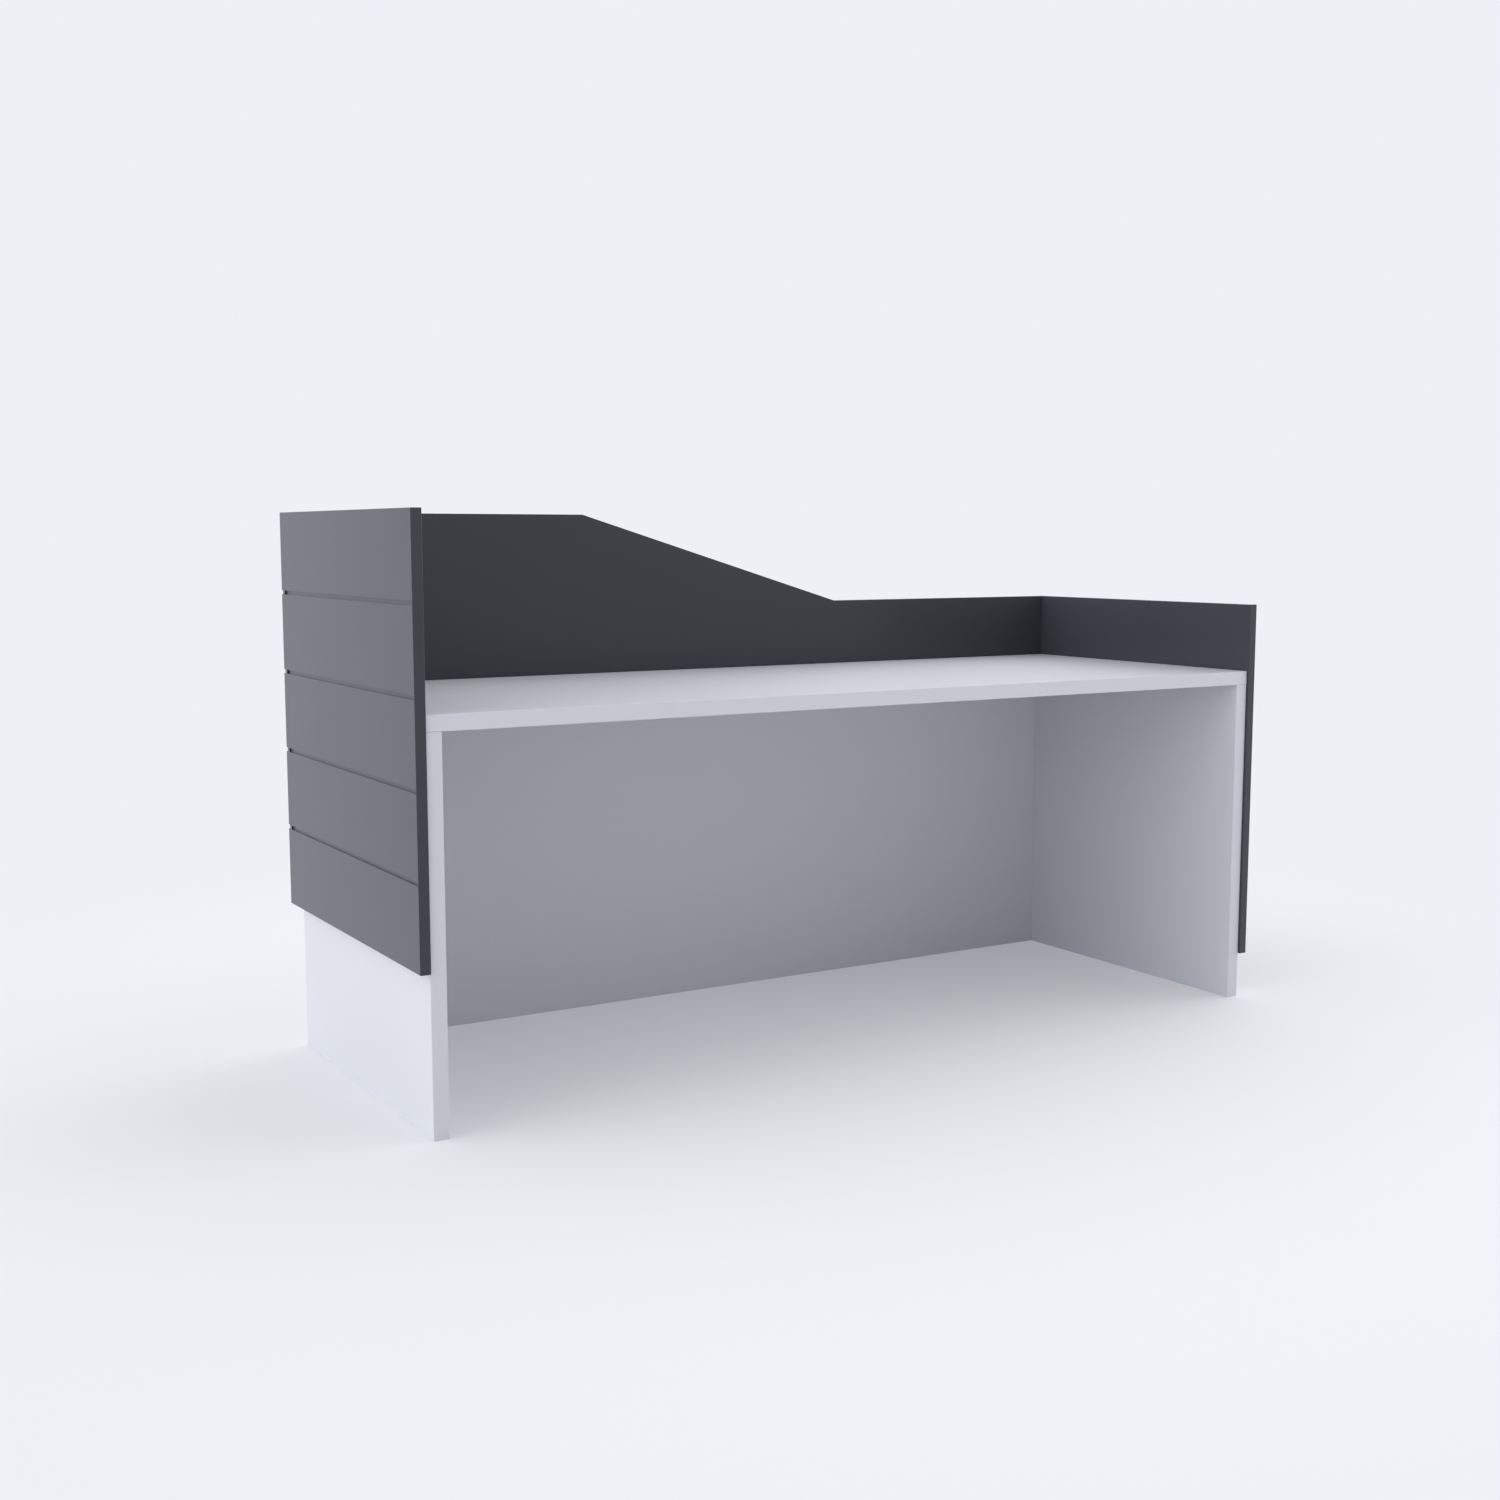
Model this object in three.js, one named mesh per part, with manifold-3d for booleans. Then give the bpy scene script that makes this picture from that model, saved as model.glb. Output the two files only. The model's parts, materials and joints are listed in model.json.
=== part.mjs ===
// Reception desk. Four white boards make the carcass, and three dark grooved boards hang on its outside.
// Units are millimetres. +X runs along the desk, to the right of the person who sits at it. +Y points at
// the visitor and +Z points up. The origin is on the floor, under the middle of the desk.

import * as THREE from 'three';
import { mergeVertices } from 'three/addons/utils/BufferGeometryUtils.js';
import Module from 'manifold-3d';

const wasm = await Module();
wasm.setup();

// Overall sizes
const LENGTH = 2000;
const DEPTH = 735;
const WORKTOP_HEIGHT = 750;

// Boards
const BOARD = 30; // worktop and side panels
const MODESTY = 18; // modesty panel
const CLADDING = 20; // dark cladding
const REAR_SETBACK = 5; // how far the carcass stops short of the cladding's rear edge
const END_CLEARANCE = 0.5; // worktop end to side cladding
const EDGE_RADIUS = 2; // rounded rear edges of the white boards
const CLADDING_RADIUS = 1.5; // rounded rear edges of the cladding

// Cladding: five equal bands, with a groove between each two, stepping down across the middle third
const BAND = 160;
const BAND_COUNT = 5;
const HIGH_TOP = 1100;
const LOW_TOP = 900;
const KNEE = LENGTH / 6; // distance from the middle at which the slope starts and ends
const GROOVE_WIDTH = 8;
const FRONT_GROOVE_DEPTH = 8;
const SIDE_GROOVE_DEPTH = 3.5;
const GROOVE_STOP = 2; // edge band that closes the side grooves at the rear

// Fittings
const FIT = 0.3; // clearance round every fitted piece
const SMALL_SIDES = 12; // facets round a bolt, dowel or screw
const LARGE_SIDES = 18; // facets round a cam or foot
const CAM_RADIUS = 7.4;
const CAM_RIM = 0.6; // chamfer round the cam's face
const CAM_SETBACK = 34; // cam axis to the joint that it pulls together
const CAM_FLOOR = 4.5; // cam body behind the bolt's axis
const CROSS_LENGTH = 8; // screwdriver cross in the cam's face
const CROSS_WIDTH = 1.6;
const CROSS_DEPTH = 3;
const BOLT_HEAD_RADIUS = 3.4;
const BOLT_NECK_RADIUS = 2.2;
const BOLT_THREAD_RADIUS = 2.5;
const BOLT_GRIP = 11; // thread in the mating board
const DOWEL_RADIUS = 4;
const DOWEL_LENGTH = 30;
const DOWEL_CHAMFER = 1;

// Hangers
const PLATE_HALF_WIDTH = 10;
const PLATE_TOP = 14; // upper fixing hole above the hanging screw
const PLATE_BOTTOM = 29; // lower fixing hole below the hanging screw
const PLATE_THICKNESS = 2;
const PLATE_HOLE_RADIUS = 2.2;
const KEY_SLOT_HALF = 2.9;
const KEY_DROP = 14; // hanging place to entry hole
const KEY_ENTRY_RADIUS = 5.5;
const SCREW_RADIUS = 2.5;
const SCREW_HEAD_RADIUS = 4.8;
const SCREW_HEAD = 2.5;
const POCKET_HALF = 6.2; // room behind the plate for the head to slide in
const POCKET_DEPTH = 7.5;

// Levelling feet
const SOLE_RADIUS = 12;
const SOLE_HEIGHT = 5;
const HUB_RADIUS = 7;
const HUB_TOP = 9;
const STEM_RADIUS = 4;
const STEM_TOP = 50;
const FOOT_WELL = 12; // depth of the recess that the foot screws up into
const SLEEVE_RADIUS = 6;
const SLEEVE_TOP = 32;
const FLANGE_RADIUS = 9;
const FLANGE_HEIGHT = 1.5;

// Places of the fittings
const CAM_ROWS = { rear: -290, front: 270 };
const DOWEL_ROWS = { rear: -230, front: 210 };
const MODESTY_CAM_HEIGHTS = { upper: 560, lower: 350 };
const MODESTY_DOWELS = { left: -600, middle: 0, right: 600 };
const SIDE_HANGERS = { rear: [-300, 600], front: [290, 600], lower: [0, 380] };
const FRONT_HANGERS = {
  left: [-800, 620],
  middle: [0, 620],
  right: [800, 620],
  lower_left: [-800, 380],
  lower_right: [800, 380],
};
const FOOT_ROWS = { rear: -300, front: 285 };

// Planes worked out from the sizes above
const END = LENGTH / 2;
const CARCASS_END = END - CLADDING;
const INNER_END = CARCASS_END - BOARD;
const FRONT = DEPTH / 2;
const CARCASS_FRONT = FRONT - CLADDING;
const MODESTY_MIDDLE = CARCASS_FRONT - MODESTY / 2;
const CLADDING_REAR = -DEPTH / 2;
const CARCASS_REAR = CLADDING_REAR + REAR_SETBACK;
const LEG_TOP = WORKTOP_HEIGHT - BOARD;
const CLADDING_HEIGHT = BAND * BAND_COUNT;
const SLOPE = Math.atan2(HIGH_TOP - LOW_TOP, 2 * KNEE);
const SIDES = { left: -1, right: 1 };
const CLADDING_TOPS = { left: HIGH_TOP, right: LOW_TOP };

// Directions
const UP = new THREE.Vector3(0, 0, 1);
const TO_VISITOR = new THREE.Vector3(0, 1, 0);
const toSide = (side) => new THREE.Vector3(side, 0, 0);

// Materials
const white = { color: 0xe6e8ee, roughness: 0.5, metalness: 0 };
const anthracite = { color: 0x45474c, roughness: 0.45, metalness: 0 };
const zinc = { color: 0xa6a8aa, roughness: 0.4, metalness: 0.9 };
const steel = { color: 0xb9bbbe, roughness: 0.3, metalness: 1 };
const beech = { color: 0xcfae7c, roughness: 0.7, metalness: 0 };
const plastic = { color: 0x1d1e20, roughness: 0.6, metalness: 0 };

const carcass = new THREE.Group();
const cladding = new THREE.Group();
const fittings = new THREE.Group();
const feet = new THREE.Group();
const drillings = new Map();

// A closed solid from a geometry: only positions are kept, shared points are merged, and the flat
// triangles that a turned profile has on its axis are dropped.
function solidOf(geometry) {
  const bare = geometry.clone();
  bare.deleteAttribute('normal');
  bare.deleteAttribute('uv');
  const merged = mergeVertices(bare);
  const corners = merged.index.array;
  const triangles = [];
  for (let i = 0; i < corners.length; i += 3) {
    const [a, b, c] = corners.slice(i, i + 3);
    if (a !== b && b !== c && c !== a) triangles.push(a, b, c);
  }
  const vertProperties = new Float32Array(merged.attributes.position.array);
  const triVerts = new Uint32Array(triangles);
  return new wasm.Manifold(new wasm.Mesh({ numProp: 3, vertProperties, triVerts }));
}

function geometryOf(solid) {
  const mesh = solid.getMesh();
  const geometry = new THREE.BufferGeometry();
  geometry.setAttribute('position', new THREE.BufferAttribute(mesh.vertProperties, 3));
  geometry.setIndex(new THREE.BufferAttribute(mesh.triVerts, 1));
  geometry.computeVertexNormals();
  return geometry;
}

function cut(geometry, tools) {
  let solid = solidOf(geometry);
  for (const tool of tools) solid = solid.subtract(solidOf(tool));
  return geometryOf(solid);
}

function addPiece(group, name, geometry, look, place = new THREE.Matrix4()) {
  const mesh = new THREE.Mesh(geometry, new THREE.MeshStandardMaterial(look));
  mesh.name = name;
  mesh.applyMatrix4(place);
  group.add(mesh);
}

// Notes a cut for a board that is made later. The tool is moved from the fitting's frame to the desk's.
function drill(board, tool, place) {
  if (!drillings.has(board)) drillings.set(board, []);
  drillings.get(board).push(tool.applyMatrix4(place));
}

function addBoard(group, name, blank, look, tools = []) {
  const drilled = drillings.get(name) ?? [];
  addPiece(group, name, cut(blank, [...tools, ...drilled]), look);
}

// A fitting's frame: z points out of the board's face and y along the given direction in that face.
function frameAt(point, out, along) {
  const across = new THREE.Vector3().crossVectors(along, out);
  return new THREE.Matrix4().makeBasis(across, along, out).setPosition(point);
}

// A profile of [radius, height] pairs, turned about the z axis.
function turned(profile, sides = SMALL_SIDES) {
  const points = profile.map(([radius, height]) => new THREE.Vector2(radius, height));
  return new THREE.LatheGeometry(points, sides).rotateX(Math.PI / 2);
}

function rod(radius, from, to, sides = SMALL_SIDES) {
  return turned([[0, from], [radius, from], [radius, to], [0, to]], sides);
}

// The same, lying along the y axis of the fitting's frame.
const rodAlong = (radius, from, to, depth) => rod(radius, from, to).rotateX(-Math.PI / 2).translate(0, 0, depth);

function block(low, high) {
  const size = high.map((value, axis) => value - low[axis]);
  const centre = high.map((value, axis) => (value + low[axis]) / 2);
  return new THREE.BoxGeometry(...size).translate(...centre);
}

// A slot with round ends, upright in the x-y plane and centred on x = 0.
function slotShape(half, bottom, top) {
  const shape = new THREE.Shape();
  shape.absarc(0, top, half, 0, Math.PI);
  shape.absarc(0, bottom, half, Math.PI, 2 * Math.PI);
  return shape;
}

function extruded(shape, from, to, curveSegments = 3) {
  const settings = { depth: to - from, bevelEnabled: false, curveSegments };
  return new THREE.ExtrudeGeometry(shape, settings).translate(0, 0, from);
}

// A rectangle whose two corners at the low end of y are rounded.
function rearRounded(lowX, highX, rear, front, radius) {
  const shape = new THREE.Shape();
  shape.moveTo(highX, front);
  shape.lineTo(lowX, front);
  shape.absarc(lowX + radius, rear + radius, radius, Math.PI, 1.5 * Math.PI);
  shape.absarc(highX - radius, rear + radius, radius, 1.5 * Math.PI, 2 * Math.PI);
  return shape;
}

// A strip that follows the front: level, down over the middle third, and level again. Its upper and lower
// edges lie the given heights above the left-hand line. Each knee is shifted so that a routed strip keeps
// its width on the slope.
function steppedStrip(line, below, above, end, routed) {
  const shift = routed ? (1 / Math.cos(SLOPE) - 1) / Math.tan(SLOPE) : 0;
  const drop = HIGH_TOP - LOW_TOP;
  const shape = new THREE.Shape();
  shape.moveTo(-end, line + below);
  shape.lineTo(-KNEE + below * shift, line + below);
  shape.lineTo(KNEE + below * shift, line + below - drop);
  shape.lineTo(end, line + below - drop);
  shape.lineTo(end, line + above - drop);
  shape.lineTo(KNEE + above * shift, line + above - drop);
  shape.lineTo(-KNEE + above * shift, line + above);
  shape.lineTo(-end, line + above);
  return shape;
}

// Stands a drawing made in x and z against the visitor's side, from one depth to another.
function standing(shape, rear, front) {
  return extruded(shape, -front, -rear).rotateX(Math.PI / 2);
}

// A cam in one board pulls on the head of a bolt that is screwed into another. The frame has its origin
// where the cam's axis meets the board's face, and y points at the joint between the two boards.
function camFitting(label, place, depth, board, mate) {
  const floor = -depth - CAM_FLOOR;
  const rim = CAM_RADIUS - CAM_RIM;
  const profile = [[0, floor], [CAM_RADIUS, floor], [CAM_RADIUS, -FIT - CAM_RIM], [rim, -FIT], [0, -FIT]];
  const reach = CROSS_LENGTH / 2;
  const half = CROSS_WIDTH / 2;
  const cam = cut(turned(profile, LARGE_SIDES), [
    rodAlong(BOLT_HEAD_RADIUS + FIT, -BOLT_HEAD_RADIUS, CAM_RADIUS + 1, -depth),
    block([-reach, -half, -FIT - CROSS_DEPTH], [reach, half, 1]),
    block([-half, -reach, -FIT - CROSS_DEPTH], [half, reach, 1]),
  ]);
  addPiece(fittings, `${label}_cam`, cam, zinc, place);

  const head = BOLT_HEAD_RADIUS - 1;
  const neck = CAM_RADIUS - 1;
  const tip = CAM_SETBACK + BOLT_GRIP;
  const bolt = turned([
    [0, -head],
    [BOLT_HEAD_RADIUS, -head],
    [BOLT_HEAD_RADIUS, 1],
    [BOLT_NECK_RADIUS, head],
    [BOLT_NECK_RADIUS, neck],
    [BOLT_HEAD_RADIUS, neck],
    [BOLT_HEAD_RADIUS, CAM_SETBACK],
    [BOLT_THREAD_RADIUS, CAM_SETBACK],
    [BOLT_THREAD_RADIUS, tip - 1],
    [BOLT_THREAD_RADIUS - 1, tip],
    [0, tip],
  ]);
  bolt.rotateX(-Math.PI / 2).translate(0, 0, -depth);
  addPiece(fittings, `${label}_bolt`, bolt, steel, place);

  drill(board, rod(CAM_RADIUS + FIT, floor - FIT, 1, LARGE_SIDES), place);
  drill(board, rodAlong(BOLT_HEAD_RADIUS + 2 * FIT, 0, CAM_SETBACK + 1, -depth), place);
  drill(mate, rodAlong(BOLT_THREAD_RADIUS + FIT, CAM_SETBACK - 1, tip + FIT, -depth), place);
}

// A dowel stands half in the board below the joint and half in the worktop.
function dowel(label, x, y, board) {
  const half = DOWEL_LENGTH / 2;
  const tip = DOWEL_RADIUS - DOWEL_CHAMFER;
  const profile = [
    [0, -half],
    [tip, -half],
    [DOWEL_RADIUS, DOWEL_CHAMFER - half],
    [DOWEL_RADIUS, half - DOWEL_CHAMFER],
    [tip, half],
    [0, half],
  ];
  const place = new THREE.Matrix4().setPosition(x, y, LEG_TOP);
  addPiece(fittings, `${label}_dowel`, turned(profile), beech, place);
  const hole = () => rod(DOWEL_RADIUS + FIT, -half - 1, half + 1);
  drill(board, hole(), place);
  drill('worktop', hole(), place);
}

// A keyhole plate, let into the back of the cladding, hangs on a screw in the carcass. The frame has its
// origin on the carcass face, at the screw, with z pointing out and y pointing up.
function hanger(label, place, grip, board, carrier) {
  const outline = slotShape(PLATE_HALF_WIDTH, -PLATE_BOTTOM, PLATE_TOP);
  const turn = Math.asin(KEY_SLOT_HALF / KEY_ENTRY_RADIUS);
  const keyhole = new THREE.Path();
  keyhole.absarc(0, 0, KEY_SLOT_HALF, 0, Math.PI);
  keyhole.absarc(0, -KEY_DROP, KEY_ENTRY_RADIUS, Math.PI / 2 + turn, 2.5 * Math.PI - turn);
  outline.holes.push(keyhole);
  for (const height of [PLATE_TOP, -PLATE_BOTTOM]) {
    const fixing = new THREE.Path();
    fixing.absarc(0, height, PLATE_HOLE_RADIUS, 0, 2 * Math.PI);
    outline.holes.push(fixing);
  }
  const back = FIT + PLATE_THICKNESS;
  addPiece(fittings, `${label}_hanger_plate`, extruded(outline, FIT, back), steel, place);

  const seat = back + FIT;
  const screw = turned([
    [0, -grip],
    [SCREW_RADIUS, 2 - grip],
    [SCREW_RADIUS, seat],
    [SCREW_HEAD_RADIUS, seat],
    [SCREW_HEAD_RADIUS, seat + SCREW_HEAD - 1],
    [SCREW_HEAD_RADIUS - 1, seat + SCREW_HEAD],
    [0, seat + SCREW_HEAD],
  ]);
  addPiece(fittings, `${label}_hanger_screw`, screw, steel, place);

  drill(board, extruded(slotShape(PLATE_HALF_WIDTH + FIT, -PLATE_BOTTOM, PLATE_TOP), -1, seat), place);
  drill(board, extruded(slotShape(POCKET_HALF, -KEY_DROP, 0), -1, POCKET_DEPTH), place);
  drill(carrier, rod(SCREW_RADIUS + FIT, -grip - 1, 1), place);
}

// A foot that screws up flush into the lower edge of a side panel, and the threaded sleeve that holds it.
function levellingFoot(label, x, y, panel) {
  const place = new THREE.Matrix4().setPosition(x, y, 0);
  const foot = turned([
    [0, 0],
    [SOLE_RADIUS - 1, 0],
    [SOLE_RADIUS, 1],
    [SOLE_RADIUS, SOLE_HEIGHT],
    [HUB_RADIUS, SOLE_HEIGHT + 1],
    [HUB_RADIUS, HUB_TOP],
    [STEM_RADIUS, HUB_TOP],
    [STEM_RADIUS, STEM_TOP - 1],
    [STEM_RADIUS - 1, STEM_TOP],
    [0, STEM_TOP],
  ], LARGE_SIDES);
  addPiece(feet, `${label}_levelling_foot`, foot, plastic, place);

  const bore = STEM_RADIUS + FIT;
  const flange = FOOT_WELL - FLANGE_HEIGHT;
  const sleeve = turned([
    [bore, flange],
    [FLANGE_RADIUS, flange],
    [FLANGE_RADIUS, FOOT_WELL],
    [SLEEVE_RADIUS, FOOT_WELL],
    [SLEEVE_RADIUS, SLEEVE_TOP],
    [bore, SLEEVE_TOP],
    [bore, flange],
  ]);
  addPiece(feet, `${label}_foot_sleeve`, sleeve, steel, place);

  drill(panel, rod(SOLE_RADIUS + 1, -1, FOOT_WELL + FIT, LARGE_SIDES), place);
  drill(panel, rod(SLEEVE_RADIUS + FIT, -1, SLEEVE_TOP + FIT), place);
  drill(panel, rod(STEM_RADIUS + 2 * FIT, -1, STEM_TOP + 5), place);
}

// Fittings of each side
for (const [hand, side] of Object.entries(SIDES)) {
  const panel = `${hand}_side_panel`;
  const out = toSide(side);
  const middle = side * (CARCASS_END - BOARD / 2);
  for (const [row, y] of Object.entries(CAM_ROWS)) {
    const point = new THREE.Vector3(side * CARCASS_END, y, LEG_TOP - CAM_SETBACK);
    camFitting(`worktop_${hand}_${row}`, frameAt(point, out, UP), BOARD / 2, panel, 'worktop');
  }
  for (const [row, y] of Object.entries(DOWEL_ROWS)) {
    dowel(`worktop_${hand}_${row}`, middle, y, panel);
  }
  for (const [level, z] of Object.entries(MODESTY_CAM_HEIGHTS)) {
    const point = new THREE.Vector3(side * (INNER_END - CAM_SETBACK), CARCASS_FRONT, z);
    const place = frameAt(point, TO_VISITOR, out);
    camFitting(`modesty_${hand}_${level}`, place, MODESTY / 2, 'modesty_panel', panel);
  }
  for (const [row, [y, z]] of Object.entries(SIDE_HANGERS)) {
    const point = new THREE.Vector3(side * CARCASS_END, y, z);
    hanger(`${hand}_${row}`, frameAt(point, out, UP), BOARD - 8, `${hand}_cladding`, panel);
  }
  for (const [row, y] of Object.entries(FOOT_ROWS)) {
    levellingFoot(`${hand}_${row}`, middle, y, panel);
  }
}

// Fittings of the visitor's side
for (const [label, x] of Object.entries(MODESTY_DOWELS)) {
  dowel(`modesty_${label}`, x, MODESTY_MIDDLE, 'modesty_panel');
}
for (const [label, [x, z]] of Object.entries(FRONT_HANGERS)) {
  const place = frameAt(new THREE.Vector3(x, CARCASS_FRONT, z), TO_VISITOR, UP);
  hanger(`front_${label}`, place, MODESTY - 4, 'front_cladding', 'modesty_panel');
}

// Worktop: its rear edge is rounded, and it lies on the side panels and the modesty panel.
const worktopSection = rearRounded(-WORKTOP_HEIGHT, -LEG_TOP, CARCASS_REAR, CARCASS_FRONT, EDGE_RADIUS);
const worktopLength = 2 * (CARCASS_END - END_CLEARANCE);
const worktop = extruded(worktopSection, -worktopLength / 2, worktopLength / 2, 2).rotateY(Math.PI / 2);
addBoard(carcass, 'worktop', worktop, white);

// Side panels, from the floor to the worktop
for (const [hand, side] of Object.entries(SIDES)) {
  const [low, high] = [side * CARCASS_END, side * INNER_END].sort((a, b) => a - b);
  const section = rearRounded(low, high, CARCASS_REAR, CARCASS_FRONT, EDGE_RADIUS);
  addBoard(carcass, `${hand}_side_panel`, extruded(section, 0, LEG_TOP, 2), white);
}

// Modesty panel, between the side panels and flush with their front edges
const modestyLow = [-INNER_END, CARCASS_FRONT - MODESTY, 0];
const modestyHigh = [INNER_END, CARCASS_FRONT, LEG_TOP];
addBoard(carcass, 'modesty_panel', block(modestyLow, modestyHigh), white);

// Side cladding: the grooves run out at the front and stop short of the rear edge.
for (const [hand, side] of Object.entries(SIDES)) {
  const top = CLADDING_TOPS[hand];
  const [low, high] = [side * CARCASS_END, side * END].sort((a, b) => a - b);
  const section = rearRounded(low, high, CLADDING_REAR, CARCASS_FRONT, CLADDING_RADIUS);
  const grooves = [];
  for (let band = 1; band < BAND_COUNT; band += 1) {
    const height = top - band * BAND;
    const [inner, outer] = [side * (END - SIDE_GROOVE_DEPTH), side * (END + 1)].sort((a, b) => a - b);
    grooves.push(block(
      [inner, CLADDING_REAR + GROOVE_STOP, height - GROOVE_WIDTH / 2],
      [outer, CARCASS_FRONT + 1, height + GROOVE_WIDTH / 2],
    ));
  }
  addBoard(cladding, `${hand}_cladding`, extruded(section, top - CLADDING_HEIGHT, top, 2), anthracite, grooves);
}

// Front cladding: the grooves follow the step in the top and run out at both ends.
const frontGrooves = [];
for (let band = 1; band < BAND_COUNT; band += 1) {
  const line = HIGH_TOP - band * BAND;
  const strip = steppedStrip(line, -GROOVE_WIDTH / 2, GROOVE_WIDTH / 2, END + 1, true);
  frontGrooves.push(standing(strip, FRONT - FRONT_GROOVE_DEPTH, FRONT + 1));
}
const frontOutline = steppedStrip(HIGH_TOP, -CLADDING_HEIGHT, 0, END, false);
addBoard(cladding, 'front_cladding', standing(frontOutline, CARCASS_FRONT, FRONT), anthracite, frontGrooves);

const desk = new THREE.Group();
desk.add(carcass, cladding, fittings, feet);

export default desk;
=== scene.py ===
# %% [markdown]
# # A reception desk, board by board
# The desk is flat-pack furniture: four white boards make the carcass, and three dark grooved boards hang on
# its outside like a coat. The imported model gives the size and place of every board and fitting. This lesson
# models the boards again with the rounded edges, drillings and glued edge strips of the real ones, and the
# fittings with their threads, slots and flutes. Then each surface gets its finish. Everything is in metres,
# and the person who sits at the desk looks along +Y.

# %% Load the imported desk
import json
import math

import bmesh
import bpy
from mathutils import Matrix, Vector


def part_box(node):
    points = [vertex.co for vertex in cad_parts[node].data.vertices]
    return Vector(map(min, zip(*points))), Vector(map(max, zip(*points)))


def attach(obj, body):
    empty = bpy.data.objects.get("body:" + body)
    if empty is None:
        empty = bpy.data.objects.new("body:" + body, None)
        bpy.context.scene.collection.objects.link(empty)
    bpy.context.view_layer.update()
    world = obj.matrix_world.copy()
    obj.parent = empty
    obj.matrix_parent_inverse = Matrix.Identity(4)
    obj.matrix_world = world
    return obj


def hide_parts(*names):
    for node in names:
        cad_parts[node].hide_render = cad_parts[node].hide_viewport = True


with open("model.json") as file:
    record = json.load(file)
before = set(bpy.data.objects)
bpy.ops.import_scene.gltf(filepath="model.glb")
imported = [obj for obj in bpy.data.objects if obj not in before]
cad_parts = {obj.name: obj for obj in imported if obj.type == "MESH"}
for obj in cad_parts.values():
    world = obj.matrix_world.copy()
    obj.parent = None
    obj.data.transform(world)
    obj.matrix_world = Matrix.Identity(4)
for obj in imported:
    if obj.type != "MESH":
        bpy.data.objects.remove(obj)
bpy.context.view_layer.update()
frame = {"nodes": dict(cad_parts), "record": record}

# %% [markdown]
# ## The camera
# The photograph was taken from the seated person's side, from the left of the desk and about a metre above
# the floor. Its focal length follows from where the desk's parallel edges meet, so it is kept in pixels of
# the photograph here and turned into millimetres for Blender.

# %% Camera
SENSOR_MM = 36
PHOTO_PIXELS = 1500
FOCAL_PIXELS = 1804.1
CAMERA_PLACE = (-2.0912, -3.2601, 1.0497)
CAMERA_TILT = math.radians(83.287)
CAMERA_TURN = math.radians(-31.242)

bpy.ops.object.select_all(action="DESELECT")
bpy.ops.object.camera_add(location=CAMERA_PLACE, rotation=(CAMERA_TILT, 0, CAMERA_TURN))
camera = bpy.context.object
camera.name = "camera"
camera.data.sensor_width = SENSOR_MM
camera.data.lens = SENSOR_MM * FOCAL_PIXELS / PHOTO_PIXELS
bpy.context.scene.camera = camera
print("lens:", round(camera.data.lens, 2), "mm")

# %% [markdown]
# ## Tools for boards
# Every board starts as a cube primitive that is stretched between two corners. Its size is then applied, so
# that the object sits at the origin and its place is in its mesh. Modifiers are applied at once, because a
# finished board should be plain mesh.

# %% Add a block, apply a modifier
MM = 0.001


def choose_only(piece):
    """Makes this piece the one selected and active object."""
    bpy.ops.object.select_all(action="DESELECT")
    piece.select_set(True)
    bpy.context.view_layer.objects.active = piece


def add_block(name, low, high):
    """A box between two corners."""
    bpy.ops.object.select_all(action="DESELECT")
    low, high = Vector(low), Vector(high)
    bpy.ops.mesh.primitive_cube_add(size=1, location=(low + high) / 2)
    block = bpy.context.object
    block.name = name
    block.scale = high - low
    bpy.ops.object.transform_apply(location=True, rotation=True, scale=True)
    return block


def apply_modifier(piece, kind, **settings):
    """Adds a modifier, sets it up and applies it. Until then it is hidden, so it is worked out only once."""
    choose_only(piece)
    modifier = piece.modifiers.new(kind.lower(), kind)
    modifier.show_viewport = False
    for setting, value in settings.items():
        setattr(modifier, setting, value)
    bpy.ops.object.modifier_apply(modifier=modifier.name)


def cut_away(piece, cutters):
    """Takes the cutters out of the piece, one after the other, and deletes them."""
    for cutter in cutters:
        apply_modifier(piece, "BOOLEAN", operation="DIFFERENCE", solver="EXACT", object=cutter)
        bpy.data.objects.remove(cutter)


# %% [markdown]
# A real board has no knife-sharp edges: the saw and the edge strip leave a small round, and that round is
# what catches the light. A Bevel modifier would round every edge alike. Here only the edges that a hand can
# reach are rounded, so they are picked by their middle and direction, and bevelled in edit mode.

# %% Round chosen edges
TINY = 1e-5
FLAT = math.radians(5)
MOSTLY = 0.9
AXES = {"X": 0, "Y": 1, "Z": 2}


def round_edges(piece, width, steps, is_chosen):
    """Bevels the real corners whose middle and direction is_chosen accepts."""
    choose_only(piece)
    bpy.ops.object.mode_set(mode="EDIT")
    bpy.ops.mesh.select_mode(type="EDGE")
    bpy.ops.mesh.select_all(action="DESELECT")
    mesh = bmesh.from_edit_mesh(piece.data)
    for edge in mesh.edges:
        start, end = (vertex.co for vertex in edge.verts)
        is_corner = edge.calc_face_angle(0) > FLAT
        edge.select_set(is_corner and is_chosen((start + end) / 2, (end - start).normalized()))
    bmesh.update_edit_mesh(piece.data)
    bpy.ops.mesh.bevel(offset=width, segments=steps, affect="EDGES")
    bpy.ops.object.mode_set(mode="OBJECT")


def near(value, *places):
    """True where a value is at one of the places."""
    return any(abs(value - place) < TINY for place in places)


def runs_along(way, axis):
    """True where a direction is close to an axis."""
    return abs(way[AXES[axis]]) > MOSTLY


# %% [markdown]
# Cuts can leave points almost on top of each other, and faces with no area between them. They are merged
# when a piece is done. The rounds are then shaded smooth. The flat faces stay flat, because each normal is
# weighted by the area of the faces round it.

# %% Mend and smooth a mesh
HAIR = 0.002 * MM
SMOOTH_ANGLE = math.radians(40)


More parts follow.
